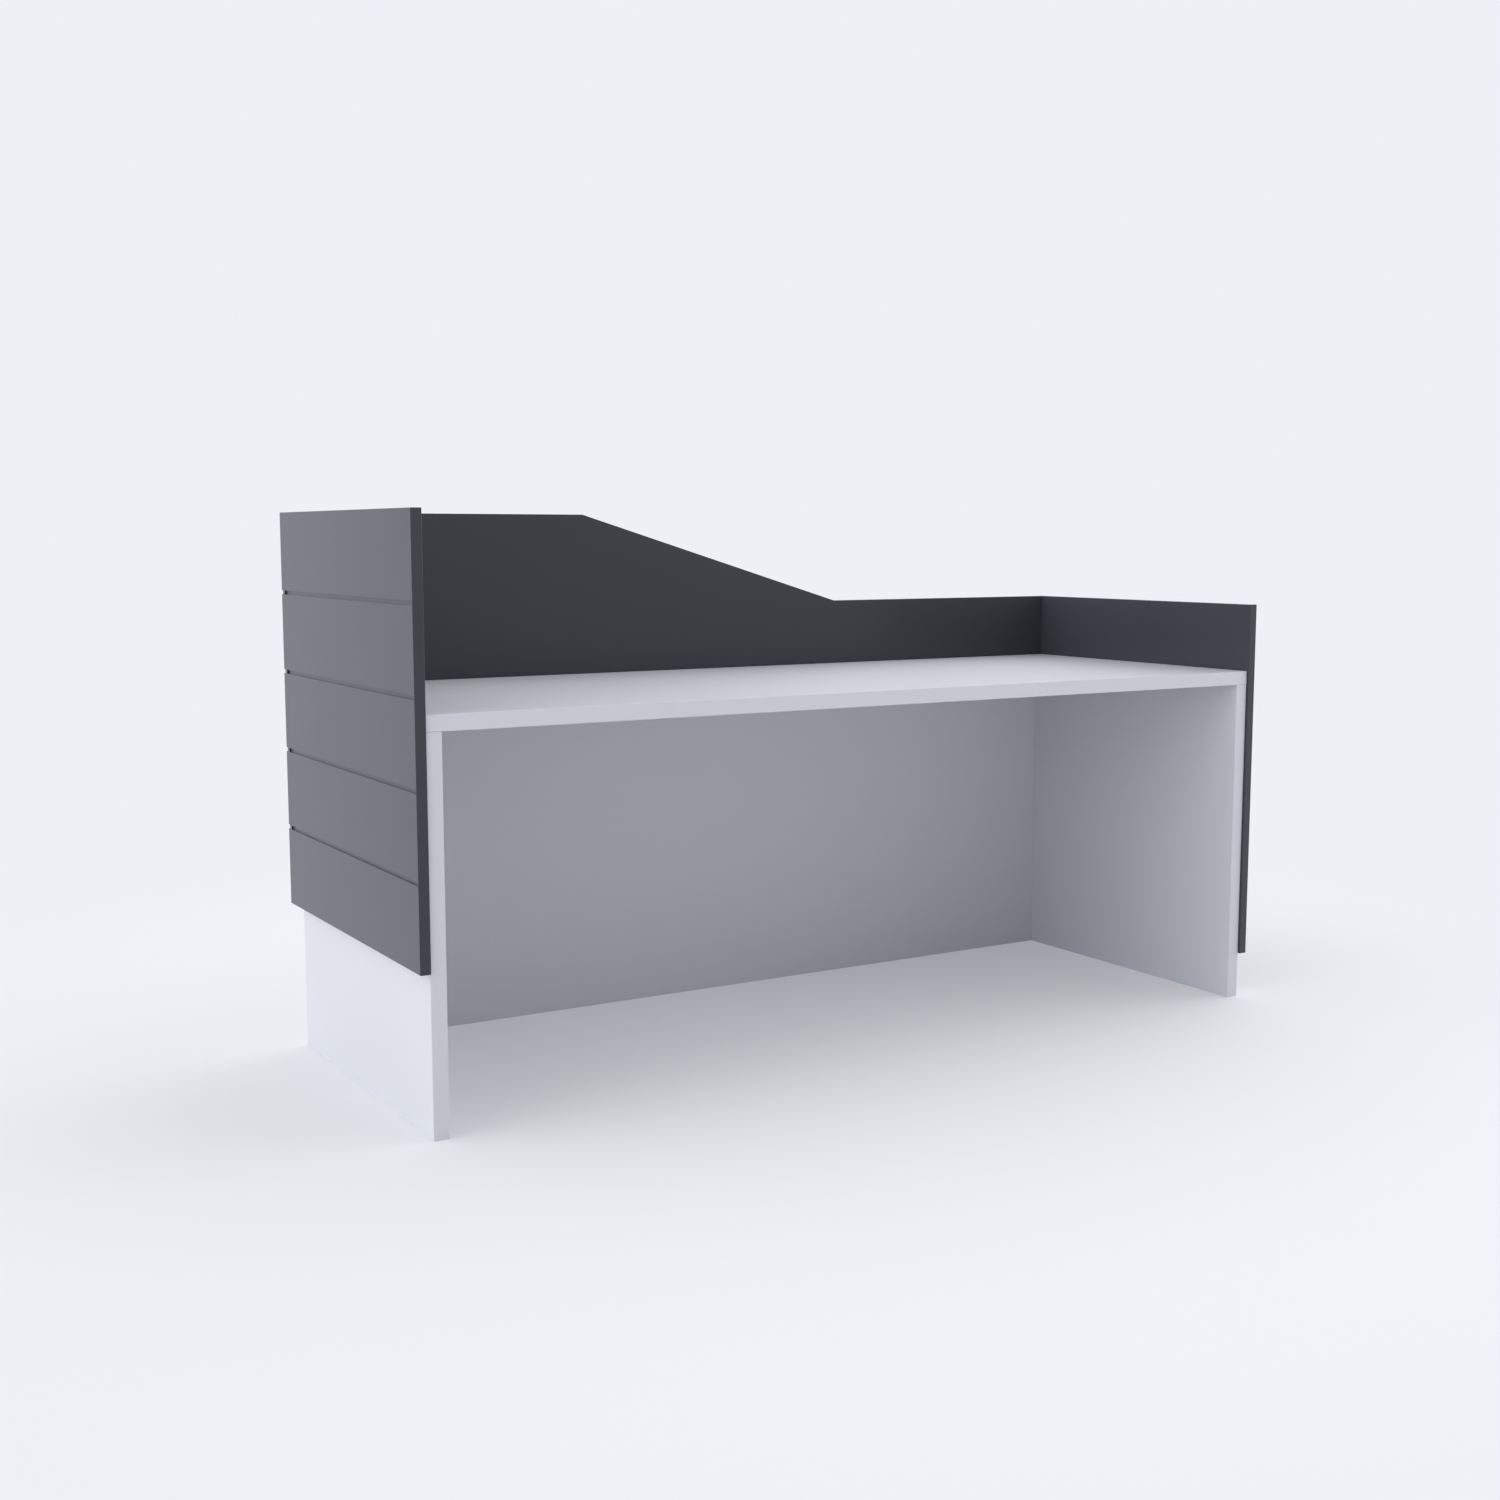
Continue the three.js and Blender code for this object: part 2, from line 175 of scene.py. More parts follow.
def mend(piece):
    """Merges the points that a cut leaves closer than a hair, and drops the faces that have no area."""
    choose_only(piece)
    bpy.ops.object.mode_set(mode="EDIT")
    bpy.ops.mesh.select_all(action="SELECT")
    bpy.ops.mesh.remove_doubles(threshold=HAIR)
    bpy.ops.mesh.dissolve_degenerate(threshold=HAIR)
    bpy.ops.object.mode_set(mode="OBJECT")


def smooth(piece):
    """Mends a piece and shades its rounds smooth."""
    mend(piece)
    bpy.ops.object.shade_smooth_by_angle(angle=SMOOTH_ANGLE)
    apply_modifier(piece, "WEIGHTED_NORMAL", mode="FACE_AREA", weight=100, keep_sharp=True)
    print(f"{piece.name}: {len(piece.data.polygons)} faces")


# %% [markdown]
# ## Drillings
# The boards hold each other with cams, bolts and dowels, and the cladding hangs on screws and keyhole
# plates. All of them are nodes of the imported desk, so a drilling is a cylinder round the fitting's own box,
# a little wider than the fitting. A seat for a keyhole plate is a cylinder too: half of its points are
# pulled down, and it becomes a slot with round ends.

# %% Cutters for drillings
CLEARANCE = 0.3 * MM
OVERSHOOT = 1 * MM
DRILL_SIDES = 32
AXIS_TURNS = {"X": (0, math.radians(90), 0), "Y": (math.radians(90), 0, 0), "Z": (0, 0, 0)}


def middle_of(node):
    """The middle of a node's box."""
    low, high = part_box(node)
    return (low + high) / 2


def add_rod(axis, low, high, radius):
    """A cylinder along an axis between two points on that axis."""
    bpy.ops.object.select_all(action="DESELECT")
    low, high = Vector(low), Vector(high)
    bpy.ops.mesh.primitive_cylinder_add(
        vertices=DRILL_SIDES,
        radius=radius,
        depth=(high - low).length,
        location=(low + high) / 2,
        rotation=AXIS_TURNS[axis],
    )
    rod = bpy.context.object
    bpy.ops.object.transform_apply(location=True, rotation=True, scale=True)
    return rod


def drilling(node, axis, radius=None):
    """A hole right round a fitting, or of a given radius about its middle line."""
    low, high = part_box(node)
    along = AXES[axis]
    across = (along + 1) % len(AXES)
    start, end = middle_of(node), middle_of(node)
    start[along] = low[along] - OVERSHOOT
    end[along] = high[along] + OVERSHOOT
    if radius is None:
        radius = (high[across] - low[across]) / 2 + CLEARANCE
    return add_rod(axis, start, end, radius)


def stretch(piece, pull):
    """Moves the half of a round piece that lies towards a pull, which makes a slot with round ends."""
    choose_only(piece)
    bpy.ops.object.mode_set(mode="EDIT")
    bpy.ops.mesh.select_mode(type="VERT")
    bpy.ops.mesh.select_all(action="DESELECT")
    mesh = bmesh.from_edit_mesh(piece.data)
    middle = sum((vertex.co for vertex in mesh.verts), Vector()) / len(mesh.verts)
    for vertex in mesh.verts:
        vertex.select_set((vertex.co - middle).dot(pull) > TINY * pull.length)
    bmesh.update_edit_mesh(piece.data)
    bpy.ops.transform.translate(value=pull)
    bpy.ops.object.mode_set(mode="OBJECT")
    return piece


# %% [markdown]
# ## The white carcass
# The side panels stand on the floor and carry the worktop. The modesty panel closes the visitor's side
# between them. The boards are cut from white melamine-faced chipboard, and the edges at the seated person's
# side are closed by a glued strip, two millimetres thick, whose corners are rounded. The strip is its own
# piece here, because on the real desk it is one, with a hairline of glue between it and the board.

# %% Names and sizes of the boards
STRIP = 2 * MM
GLUE_LINE = 0.12 * MM
STRIP_ROUND = 1.4 * MM
STRIP_STEPS = 5
ARRIS = 0.5 * MM
ARRIS_STEPS = 2
SCREW_HOLE = 2.8 * MM
SIDES = {"left": -1, "right": 1}
ROWS = ("rear", "front")
LEVELS = ("upper", "lower")
MODESTY_DOWELS = ("left", "middle", "right")
HANGER_ROWS = ("rear", "front", "lower")
FRONT_HANGERS = ("left", "middle", "right", "lower_left", "lower_right")

pieces = {}


def enrol(piece, slot, body, *nodes):
    """Says which finish a piece takes, what it rides on and which nodes it stands for."""
    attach(piece, body)
    if nodes:
        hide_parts(*nodes)
    pieces[piece.name] = (piece, slot)


def keep(piece, slot, *nodes):
    """Finishes a board's surface and enrols it."""
    smooth(piece)
    enrol(piece, slot, "desk", *nodes)


def add_strip(name, low, high, slot):
    """An edge strip on the seated person's side, with its long outer corners rounded."""
    strip = add_block(name, low, (high.x, low.y + STRIP - GLUE_LINE, high.z))
    long_axis = "X" if high.x - low.x > high.z - low.z else "Z"
    round_edges(
        strip,
        STRIP_ROUND,
        STRIP_STEPS,
        lambda middle, way: near(middle.y, low.y) and runs_along(way, long_axis),
    )
    keep(strip, slot)


# %% [markdown]
# The worktop lies on the other three boards, and its underside is drilled for the cams' bolts and for
# dowels. It could be one box with rounded edges. It is cut back by the strip's thickness instead, so that
# the strip fills the gap and can have a finish of its own.

# %% Worktop
low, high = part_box("worktop")
worktop = add_block("worktop_board", (low.x, low.y + STRIP, low.z), high)
cut_away(worktop, [drilling(f"worktop_{side}_{row}_bolt", "Z", SCREW_HOLE) for side in SIDES for row in ROWS])
cut_away(worktop, [drilling(f"worktop_{side}_{row}_dowel", "Z") for side in SIDES for row in ROWS])
cut_away(worktop, [drilling(f"modesty_{place}_dowel", "Z") for place in MODESTY_DOWELS])
keep(worktop, "white_board", "worktop")
add_strip("worktop_edge_strip", low, high, "white_board")

# %% [markdown]
# Each side panel has cams for the worktop in its outer face, where the cladding hides them, and a stepped
# hole for each levelling foot in its lower edge: a wide well for the foot's sole, a hole for its sleeve and
# a narrow one for its stem. The front corners show below the cladding, so they get a small arris.

# %% Side panels
FOOT_WELL_RADIUS = 13 * MM
FOOT_WELL_DEPTH = 12.3 * MM
SLEEVE_HOLE_RADIUS = 6.3 * MM
STEM_HOLE_RADIUS = 4.8 * MM
STEM_ROOM = 5 * MM


def foot_drillings(corner):
    """The three steps of the hole for a levelling foot."""
    foot = f"{corner}_levelling_foot"
    foot_low, foot_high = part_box(foot)
    sleeve_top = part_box(f"{corner}_foot_sleeve")[1].z
    below = middle_of(foot)
    below.z = foot_low.z - OVERSHOOT
    steps = [
        (FOOT_WELL_DEPTH, FOOT_WELL_RADIUS),
        (sleeve_top + CLEARANCE, SLEEVE_HOLE_RADIUS),
        (foot_high.z + STEM_ROOM, STEM_HOLE_RADIUS),
    ]
    return [add_rod("Z", below, (below.x, below.y, top), radius) for top, radius in steps]


for side in SIDES:
    low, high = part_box(f"{side}_side_panel")
    panel = add_block(f"{side}_side_board", (low.x, low.y + STRIP, low.z), high)
    round_edges(
        panel,
        ARRIS,
        ARRIS_STEPS,
        lambda middle, way: near(middle.z, low.z) or near(middle.y, high.y),
    )
    cut_away(panel, [drilling(f"worktop_{side}_{row}_cam", "X") for row in ROWS])
    cut_away(panel, [drilling(f"worktop_{side}_{row}_bolt", "Z") for row in ROWS])
    cut_away(panel, [drilling(f"worktop_{side}_{row}_dowel", "Z") for row in ROWS])
    cut_away(panel, [drilling(f"modesty_{side}_{level}_bolt", "X", SCREW_HOLE) for level in LEVELS])
    cut_away(panel, [drilling(f"{side}_{row}_hanger_screw", "X", SCREW_HOLE) for row in HANGER_ROWS])
    for row in ROWS:
        cut_away(panel, foot_drillings(f"{side}_{row}"))
    keep(panel, "white_board", f"{side}_side_panel")
    add_strip(f"{side}_side_edge_strip", low, high, "white_board")

# %% [markdown]
# The modesty panel stands between the side panels and keeps them square. No cut edge of it faces the seated
# person, so it needs no strip, only an arris along the floor and where it meets the side panels. Its cams
# are in the face that the front cladding covers.

# %% Modesty panel
low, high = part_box("modesty_panel")
modesty = add_block("modesty_board", low, high)
round_edges(
    modesty,
    ARRIS,
    ARRIS_STEPS,
    lambda middle, way: near(middle.z, low.z) or near(middle.x, low.x, high.x),
)
for side in SIDES:
    cut_away(modesty, [drilling(f"modesty_{side}_{level}_cam", "Y") for level in LEVELS])
    cut_away(modesty, [drilling(f"modesty_{side}_{level}_bolt", "X") for level in LEVELS])
cut_away(modesty, [drilling(f"modesty_{place}_dowel", "Z") for place in MODESTY_DOWELS])
cut_away(modesty, [drilling(f"front_{place}_hanger_screw", "Y", SCREW_HOLE) for place in FRONT_HANGERS])
keep(modesty, "white_board", "modesty_panel")

# %% [markdown]
# ## The dark cladding
# Each cladding board is one board, with four routed grooves that make it look like five planks. The grooves
# are cut by bars that run past the board. Keyhole plates are let into the back of the board, so that it
# hangs with no screw in sight: a shallow seat takes the plate, and a deeper pocket behind it takes the
# screw's head.

# %% Grooves and plate seats
BAND = 160 * MM
BAND_COUNT = 5
GROOVE_WIDTH = 8 * MM
SIDE_GROOVE_DEPTH = 3.5 * MM
FRONT_GROOVE_DEPTH = 8 * MM
GROOVE_ARRIS = 0.6 * MM
GROOVE_STEPS = 3
POCKET_RADIUS = 6.2 * MM
POCKET_DEPTH = 7.5 * MM
KEY_DROP = 14 * MM


def groove_heights(top):
    """Heights of the middle of the four grooves, from the top down."""
    return [top - band * BAND for band in range(1, BAND_COUNT)]


def plate_seat(label, axis, inward):
    """The slot that a keyhole plate lies in, and the pocket behind it for the head of its screw."""
    along = AXES[axis]
    low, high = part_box(f"{label}_hanger_plate")
    radius = max(high.x - low.x, high.y - low.y) / 2
    seat_low = (low + high) / 2
    seat_low.z = high.z - radius
    seat_high = seat_low.copy()
    seat_low[along] = low[along] - OVERSHOOT
    seat_high[along] = high[along] + OVERSHOOT
    drop = high.z - low.z - 2 * radius
    seat = stretch(add_rod(axis, seat_low, seat_high, radius + CLEARANCE), Vector((0, 0, -drop)))
    pocket_low = middle_of(f"{label}_hanger_screw")
    pocket_high = pocket_low.copy()
    face = low[along] - CLEARANCE if inward > 0 else high[along] + CLEARANCE
    pocket_low[along] = face - inward * OVERSHOOT
    pocket_high[along] = face + inward * POCKET_DEPTH
    pocket = stretch(add_rod(axis, pocket_low, pocket_high, POCKET_RADIUS), Vector((0, 0, -KEY_DROP)))
    return [seat, pocket]


# %% [markdown]
# The two side boards are alike, but the right one hangs lower. Their grooves run out at the visitor's end,
# where they meet the front board, and the edge strip closes them at the other end.

# %% Side cladding
for side, outward in SIDES.items():
    low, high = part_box(f"{side}_cladding")
    outer = low.x if outward < 0 else high.x
    cladding = add_block(f"{side}_cladding_board", (low.x, low.y + STRIP, low.z), high)
    bars = []
    for height in groove_heights(high.z):
        corners = sorted((outer + outward * OVERSHOOT, outer - outward * SIDE_GROOVE_DEPTH))
        bar_low = (corners[0], low.y, height - GROOVE_WIDTH / 2)
        bar_high = (corners[1], high.y + OVERSHOOT, height + GROOVE_WIDTH / 2)
        bars.append(add_block("bar", bar_low, bar_high))
    cut_away(cladding, bars)
    round_edges(
        cladding,
        GROOVE_ARRIS,
        GROOVE_STEPS,
        lambda middle, way: runs_along(way, "Y") and near(middle.x, low.x, high.x),
    )
    for row in HANGER_ROWS:
        cut_away(cladding, plate_seat(f"{side}_{row}", "X", outward))
    keep(cladding, "dark_board", f"{side}_cladding")
    add_strip(f"{side}_cladding_edge_strip", low, high, "dark_board")

# %% [markdown]
# The front board steps down across its middle third. It is first made straight, at the height of its high
# end. Two upright cuts then mark where the slope starts and ends, and all the points from the second cut on
# are moved down, so the faces between the cuts become the slope. The bars that cut its grooves are stepped
# in the same way, but their cuts lean by half the slope's angle, as in a mitre, because a router's groove
# keeps its width where it turns.

# %% Step a straight bar down
STEP_DOWN = 200 * MM


def step_down(piece, knee, lean, height):
    """Slopes a bar down between -knee and knee. Both cuts lean, about the given height."""
    choose_only(piece)
    bpy.ops.object.mode_set(mode="EDIT")
    across = Vector((math.cos(lean), 0, -math.sin(lean)))
    for place in (-knee, knee):
        bpy.ops.mesh.select_all(action="SELECT")
        bpy.ops.mesh.bisect(plane_co=(place, 0, height), plane_no=across)
    bpy.ops.mesh.select_mode(type="VERT")
    bpy.ops.mesh.select_all(action="DESELECT")
    mesh = bmesh.from_edit_mesh(piece.data)
    second_cut = Vector((knee, 0, height))
    for vertex in mesh.verts:
        vertex.select_set((vertex.co - second_cut).dot(across) > -TINY)
    bmesh.update_edit_mesh(piece.data)
    bpy.ops.transform.translate(value=(0, 0, -STEP_DOWN))
    bpy.ops.object.mode_set(mode="OBJECT")
    return piece


# %% [markdown]
# The front board is as wide as the whole desk. Its grooves are cut first and its edges are rounded after
# that, so the round follows every groove. The seats of the keyhole plates come last and stay sharp, as a
# router leaves them in a face that nobody sees.

# %% Front cladding
low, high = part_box("front_cladding")
middle_third = (high.x - low.x) / 3
knee = middle_third / 2
half_slope = math.atan2(STEP_DOWN, middle_third) / 2
front = add_block("front_cladding_board", (low.x, low.y, high.z - BAND * BAND_COUNT), high)
step_down(front, knee, 0, high.z)
bars = []
for height in groove_heights(high.z):
    bar_low = (low.x - OVERSHOOT, high.y - FRONT_GROOVE_DEPTH, height - GROOVE_WIDTH / 2)
    bar_high = (high.x + OVERSHOOT, high.y + OVERSHOOT, height + GROOVE_WIDTH / 2)
    bars.append(step_down(add_block("bar", bar_low, bar_high), knee, half_slope, height))
cut_away(front, bars)
round_edges(
    front,
    GROOVE_ARRIS,
    GROOVE_STEPS,
    lambda middle, way: near(middle.y, low.y, high.y) or near(middle.x, low.x, high.x),
)
for place in FRONT_HANGERS:
    cut_away(front, plate_seat(f"front_{place}", "Y", 1))
keep(front, "dark_board", "front_cladding")
print("the front slopes at", round(math.degrees(2 * half_slope), 1), "degrees")

# %% [markdown]
# ## Fittings
# The fittings hide inside the joints, but somebody puts this desk together, so they are modelled as real
# ones. Each kind is made once at the origin, pointing out of its board along Z, and copied to its places
# later. A round fitting could be a profile spun about an axis. Here it starts as a disc that is extruded
# upwards and resized step by step, as a lathe works along a bar, because every step stays a clean ring of
# faces.

# %% Turn a piece
ROUND_SIDES = 32
FINE_SIDES = 48
HEX_SIDES = 6


def turned(profile, sides=ROUND_SIDES):
    """A turned piece along Z, through a list of (radius, height) in millimetres."""
    bpy.ops.object.select_all(action="DESELECT")
    radius, height = profile[0]
    bpy.ops.mesh.primitive_circle_add(
        vertices=sides,
        radius=radius * MM,
        fill_type="NGON",
        location=(0, 0, height * MM),
    )
    piece = bpy.context.object
    bpy.ops.object.transform_apply(location=True, rotation=True, scale=True)
    bpy.ops.object.mode_set(mode="EDIT")
    bpy.ops.mesh.select_mode(type="FACE")
    bpy.ops.mesh.select_all(action="SELECT")
    for next_radius, next_height in profile[1:]:
        lift = (0, 0, (next_height - height) * MM)
        bpy.ops.mesh.extrude_region_move(TRANSFORM_OT_translate={"value": lift})
        ratio = next_radius / radius
        bpy.ops.transform.resize(value=(ratio, ratio, 1), center_override=(0, 0, next_height * MM))
        radius, height = next_radius, next_height
    bpy.ops.mesh.select_all(action="SELECT")
    bpy.ops.mesh.normals_make_consistent(inside=False)
    bpy.ops.object.mode_set(mode="OBJECT")
    return piece


# %% [markdown]
# A thread is a ridge that climbs round its bar. A small diamond beside the axis is carried up a screw line
# by the Screw modifier, its two open ends are closed, and a boolean joins the ridge to the bar. The
# diamond's widest part lies inside the bar, so that only its flanks cross the bar's surface, and they cross
# it cleanly.

# %% Wind a thread
THREAD_STEPS = 18
RIDGE_CORNERS = 4
RIDGE_SHARE = 0.42
RIDGE_SINK = 0.2


def join(piece, addition):
    """Makes one body of two that overlap."""
    apply_modifier(piece, "BOOLEAN", operation="UNION", solver="EXACT", object=addition)
    bpy.data.objects.remove(addition)


def threaded(bar, root, crest, low, high, pitch):
    """Joins a ridge to a turned bar, from its root radius to its crest, all in millimetres."""
    bpy.ops.object.select_all(action="DESELECT")
    bpy.ops.mesh.primitive_circle_add(
        vertices=RIDGE_CORNERS,
        radius=1,
        location=((root - RIDGE_SINK) * MM, 0, low * MM),
        rotation=AXIS_TURNS["Y"],
    )
    ridge = bpy.context.object
    ridge.scale = ((crest - root + RIDGE_SINK) * MM, RIDGE_SHARE * pitch * MM, 1)
    bpy.ops.object.transform_apply(location=True, rotation=True, scale=True)
    apply_modifier(
        ridge,
        "SCREW",
        axis="Z",
        angle=math.radians(360),
        screw_offset=pitch * MM,
        iterations=int((high - low) / pitch),
        steps=THREAD_STEPS,
        render_steps=THREAD_STEPS,
    )
    bpy.ops.object.mode_set(mode="EDIT")
    bpy.ops.mesh.select_all(action="SELECT")
    bpy.ops.mesh.fill_holes(sides=0)
    bpy.ops.mesh.select_all(action="SELECT")
    bpy.ops.mesh.normals_make_consistent(inside=False)
    bpy.ops.object.mode_set(mode="OBJECT")
    join(bar, ridge)
    return bar


# %% [markdown]
# A cam is a zinc drum with a cross in its face. The head of the bolt goes in through its side, and as the
# drum turns, the bolt's neck runs along a slot and is pulled in. The slot is a fan of drillings. The bolt
# has a round head, a thin neck, a plain shank and a coarse thread.

# %% Cams and bolts
CAM_BEHIND = 4.5
CHANNEL_START = -3.4
CHANNEL_END = 9
CHANNEL_RADIUS = 3.7
NECK_SLOT_RADIUS = 2.5
NECK_SLOT_TURNS = [math.radians(angle) for angle in (25, 50, 75, 100)]


def slot_cutter(length, width, start, end):
    """A block across the axis between two heights, in millimetres."""
    low = Vector((-length / 2, -width / 2, min(start, end))) * MM
    high = Vector((length / 2, width / 2, max(start, end))) * MM
    return add_block("slot", low, high)


def cross_recess(piece, length, width, start, end):
    """A screwdriver cross between two heights, in millimetres."""
    cut_away(piece, [slot_cutter(length, width, start, end), slot_cutter(width, length, start, end)])


def cam(depth):
    """A cam whose bolt runs along Y, so many millimetres below the board's face."""
    back = -depth - CAM_BEHIND
    drum = turned([(6.9, back), (7.4, back + 0.5), (7.4, -0.9), (6.8, -0.3)], FINE_SIDES)
    start, middle, end = (Vector((0, y, -depth)) * MM for y in (CHANNEL_START, 0, CHANNEL_END))
    cut_away(drum, [add_rod("Y", start, end, CHANNEL_RADIUS * MM)])
    for angle in NECK_SLOT_TURNS:
        slot = add_rod("Y", middle, end, NECK_SLOT_RADIUS * MM)
        slot.rotation_euler.z = angle
        bpy.ops.object.transform_apply(location=True, rotation=True, scale=True)
        cut_away(drum, [slot])
    cross_recess(drum, length=8, width=1.6, start=1, end=-3.3)
    return drum


def cam_bolt(depth):
    """The bolt of a cam, along Y, with its head on the cam's axis."""
    bolt = turned([
        (2.4, -2.4), (3.1, -2.1), (3.4, -1.4), (3.4, 0.8), (2.2, 2.2), (2.2, 6.0), (2.6, 6.5),
        (3.4, 7.2), (3.4, 33.5), (2.9, 34), (1.8, 34), (1.8, 43), (0.8, 44.8),
    ])
    cross_recess(bolt, length=3.6, width=0.8, start=-4, end=-1.4)
    threaded(bolt, root=1.8, crest=2.5, low=35, high=43, pitch=2)
    choose_only(bolt)
    bolt.rotation_euler.x = math.radians(-90)
    bolt.location.z = -depth * MM
    bpy.ops.object.transform_apply(location=True, rotation=True, scale=True)
    return bolt


# %% [markdown]
# A dowel is a beech peg with pressed flutes, which let air and spare glue out of its hole. Every second
# point of its rings is drawn in. The sleeve of a levelling foot is driven into its hole, so its outside has
# barbs. The foot's sole is moulded onto a threaded stem, and a hexagon above it is there for a spanner.

# %% Dowels, sleeves and feet
DOWEL_RADIUS = 4
FLUTE = 0.25
FLANGE_TOP = 12
BARB_COUNT = 4
BARB_LENGTH = 5
SLEEVE_BORE = 4.3


def fluted(piece, radius, sides):
    """Draws in every second point at one radius."""
    choose_only(piece)
    bpy.ops.object.mode_set(mode="EDIT")
    bpy.ops.mesh.select_mode(type="VERT")
    bpy.ops.mesh.select_all(action="DESELECT")
    mesh = bmesh.from_edit_mesh(piece.data)
    for vertex in mesh.verts:
        number = round(math.atan2(vertex.co.y, vertex.co.x) * sides / math.tau)
        vertex.select_set(near(vertex.co.xy.length, radius * MM) and number % 2 == 0)
    bmesh.update_edit_mesh(piece.data)
    ratio = 1 - FLUTE / radius
    bpy.ops.transform.resize(value=(ratio, ratio, 1), center_override=(0, 0, 0))
    bpy.ops.object.mode_set(mode="OBJECT")
    return piece


def dowel():
    """A fluted peg about its middle."""
    peg = turned([(3.0, -15), (DOWEL_RADIUS, -14), (DOWEL_RADIUS, 14), (3.0, 15)], FINE_SIDES)
    return fluted(peg, DOWEL_RADIUS, FINE_SIDES)


def foot_sleeve():
    """A barbed sleeve with a flange, and a slot across the flange to hold it by."""
    profile = [(8.5, 10.5), (9, 10.9), (9, 11.7), (8.7, FLANGE_TOP), (5.4, FLANGE_TOP)]
    for number in range(BARB_COUNT):
        start = FLANGE_TOP + number * BARB_LENGTH
        profile += [(5.95, start + 4.2), (5.4, start + 4.8)]
    sleeve = turned(profile)
    bore = add_rod("Z", Vector((0, 0, 8)) * MM, Vector((0, 0, 34)) * MM, SLEEVE_BORE * MM)
    cut_away(sleeve, [bore, slot_cutter(length=20, width=2, start=8, end=11.2)])
    return sleeve


def levelling_foot():
    """A moulded sole with a dished underside, a hexagon to turn it by, and a threaded stem."""
    foot = turned([
        (6, 0.5), (7, 0), (10.6, 0), (11.4, 0.5), (11.8, 1.2), (11.95, 2.2), (11.9, 4.0), (11.4, 4.8),
        (10.6, 5), (4.4, 5.4), (4.4, 9), (3.3, 9), (3.3, 49.2), (2.6, 50),
    ], FINE_SIDES)
    join(foot, turned([(6.9, 4.9), (6.9, 8.5), (6.3, 9)], HEX_SIDES))
    cut_away(foot, [slot_cutter(length=12, width=1.2, start=48, end=51)])
    return threaded(foot, root=3.3, crest=4, low=10, high=47.5, pitch=1.25)


# %% [markdown]
# A keyhole plate is a pressed steel strip with round ends, so it starts as a cylinder that is pulled long.
# Its countersunk holes are for the screws that hold it to the cladding. The wide part of the keyhole passes
# over the hanging screw's head, and the narrow part then drops onto the screw's neck. The hanging screw is
# a wood screw with a plain neck and a domed head.

# %% Hanging plates and screws
PLATE_BACK = 0.3
PLATE_FACE = 2.3
PLATE_TOP = 14
PLATE_BOTTOM = -29
PLATE_HALF_WIDTH = 10
PLATE_EDGE = 0.2 * MM
BELOW_PLATE = -1
ABOVE_PLATE = 4
KEY_ENTRY_RADIUS = 5.5
KEY_NECK_RADIUS = 2.9
FIXING_RADIUS = 2.2
SINK_WIDE = 4.6
SINK_NARROW = 2
SINK_DEPTH = 2
SINK_MIDDLE = 1.2


def plate_rod(y, radius, low=BELOW_PLATE, high=ABOVE_PLATE):
    """A cylinder along Z at one height of the plate, in millimetres. As a cutter it goes right through."""
    return add_rod("Z", Vector((0, y, low)) * MM, Vector((0, y, high)) * MM, radius * MM)


def countersink(y):
    """A cone that opens towards the carcass, for the head of a fixing screw."""
    bpy.ops.object.select_all(action="DESELECT")
    bpy.ops.mesh.primitive_cone_add(
        vertices=DRILL_SIDES,
        radius1=SINK_WIDE * MM,
        radius2=SINK_NARROW * MM,
        depth=SINK_DEPTH * MM,
        location=Vector((0, y, SINK_MIDDLE)) * MM,
    )
    cone = bpy.context.object
    bpy.ops.object.transform_apply(location=True, rotation=True, scale=True)
    return cone


def hanging_plate():
    """A keyhole plate, with the hanging screw's axis at the origin and Y pointing up."""
    plate = plate_rod(PLATE_TOP, PLATE_HALF_WIDTH, PLATE_BACK, PLATE_FACE)
    stretch(plate, Vector((0, PLATE_BOTTOM - PLATE_TOP, 0)) * MM)
    round_edges(plate, PLATE_EDGE, ARRIS_STEPS, lambda middle, way: not runs_along(way, "Z"))
    entry = plate_rod(-KEY_DROP / MM, KEY_ENTRY_RADIUS)
    neck = stretch(plate_rod(0, KEY_NECK_RADIUS), Vector((0, -KEY_DROP, 0)))
    cut_away(plate, [entry, neck])
    for y in (PLATE_TOP, PLATE_BOTTOM):
        cut_away(plate, [plate_rod(y, FIXING_RADIUS), countersink(y)])
    return plate


def hanging_screw(grip):
    """A wood screw that goes so many millimetres into the carcass."""
    screw = turned([
        (0.3, 0.3 - grip), (1.7, 3 - grip), (1.7, -2.6), (2.5, -1.8), (2.5, 2.6), (4.7, 2.6), (4.8, 2.9),
        (4.8, 3.6), (4.3, 4.4), (3.2, 4.9), (1.6, 5.1),
    ])
    cross_recess(screw, length=5, width=0.9, start=6, end=3.4)
    return threaded(screw, root=1.7, crest=2.5, low=3.4 - grip, high=-2.8, pitch=1.8)


# %% [markdown]
# Every fitting has a frame on the desk: its place on a board's face, the way out of that face, and the way
# towards the joint it pulls together, or up. A copy gets its own mesh, is turned into that frame, and then
# has the turn applied, so that its object ends up at the origin like all the others.

# %% Models of the fittings, and a way to copy them
SIDE_CAM_DEPTH = 15
MODESTY_CAM_DEPTH = 9
SIDE_GRIP = 22
FRONT_GRIP = 14
UP = Vector((0, 0, 1))
AHEAD = Vector((0, 1, 0))
SLOTS = {subpart["node"]: subpart["material_slot"] for subpart in frame["record"]["subparts"]}


def at_face(node, axis, face):
    """The middle of a node, moved along an axis to a board's face."""
    place = middle_of(node)
    place[AXES[axis]] = face
    return place


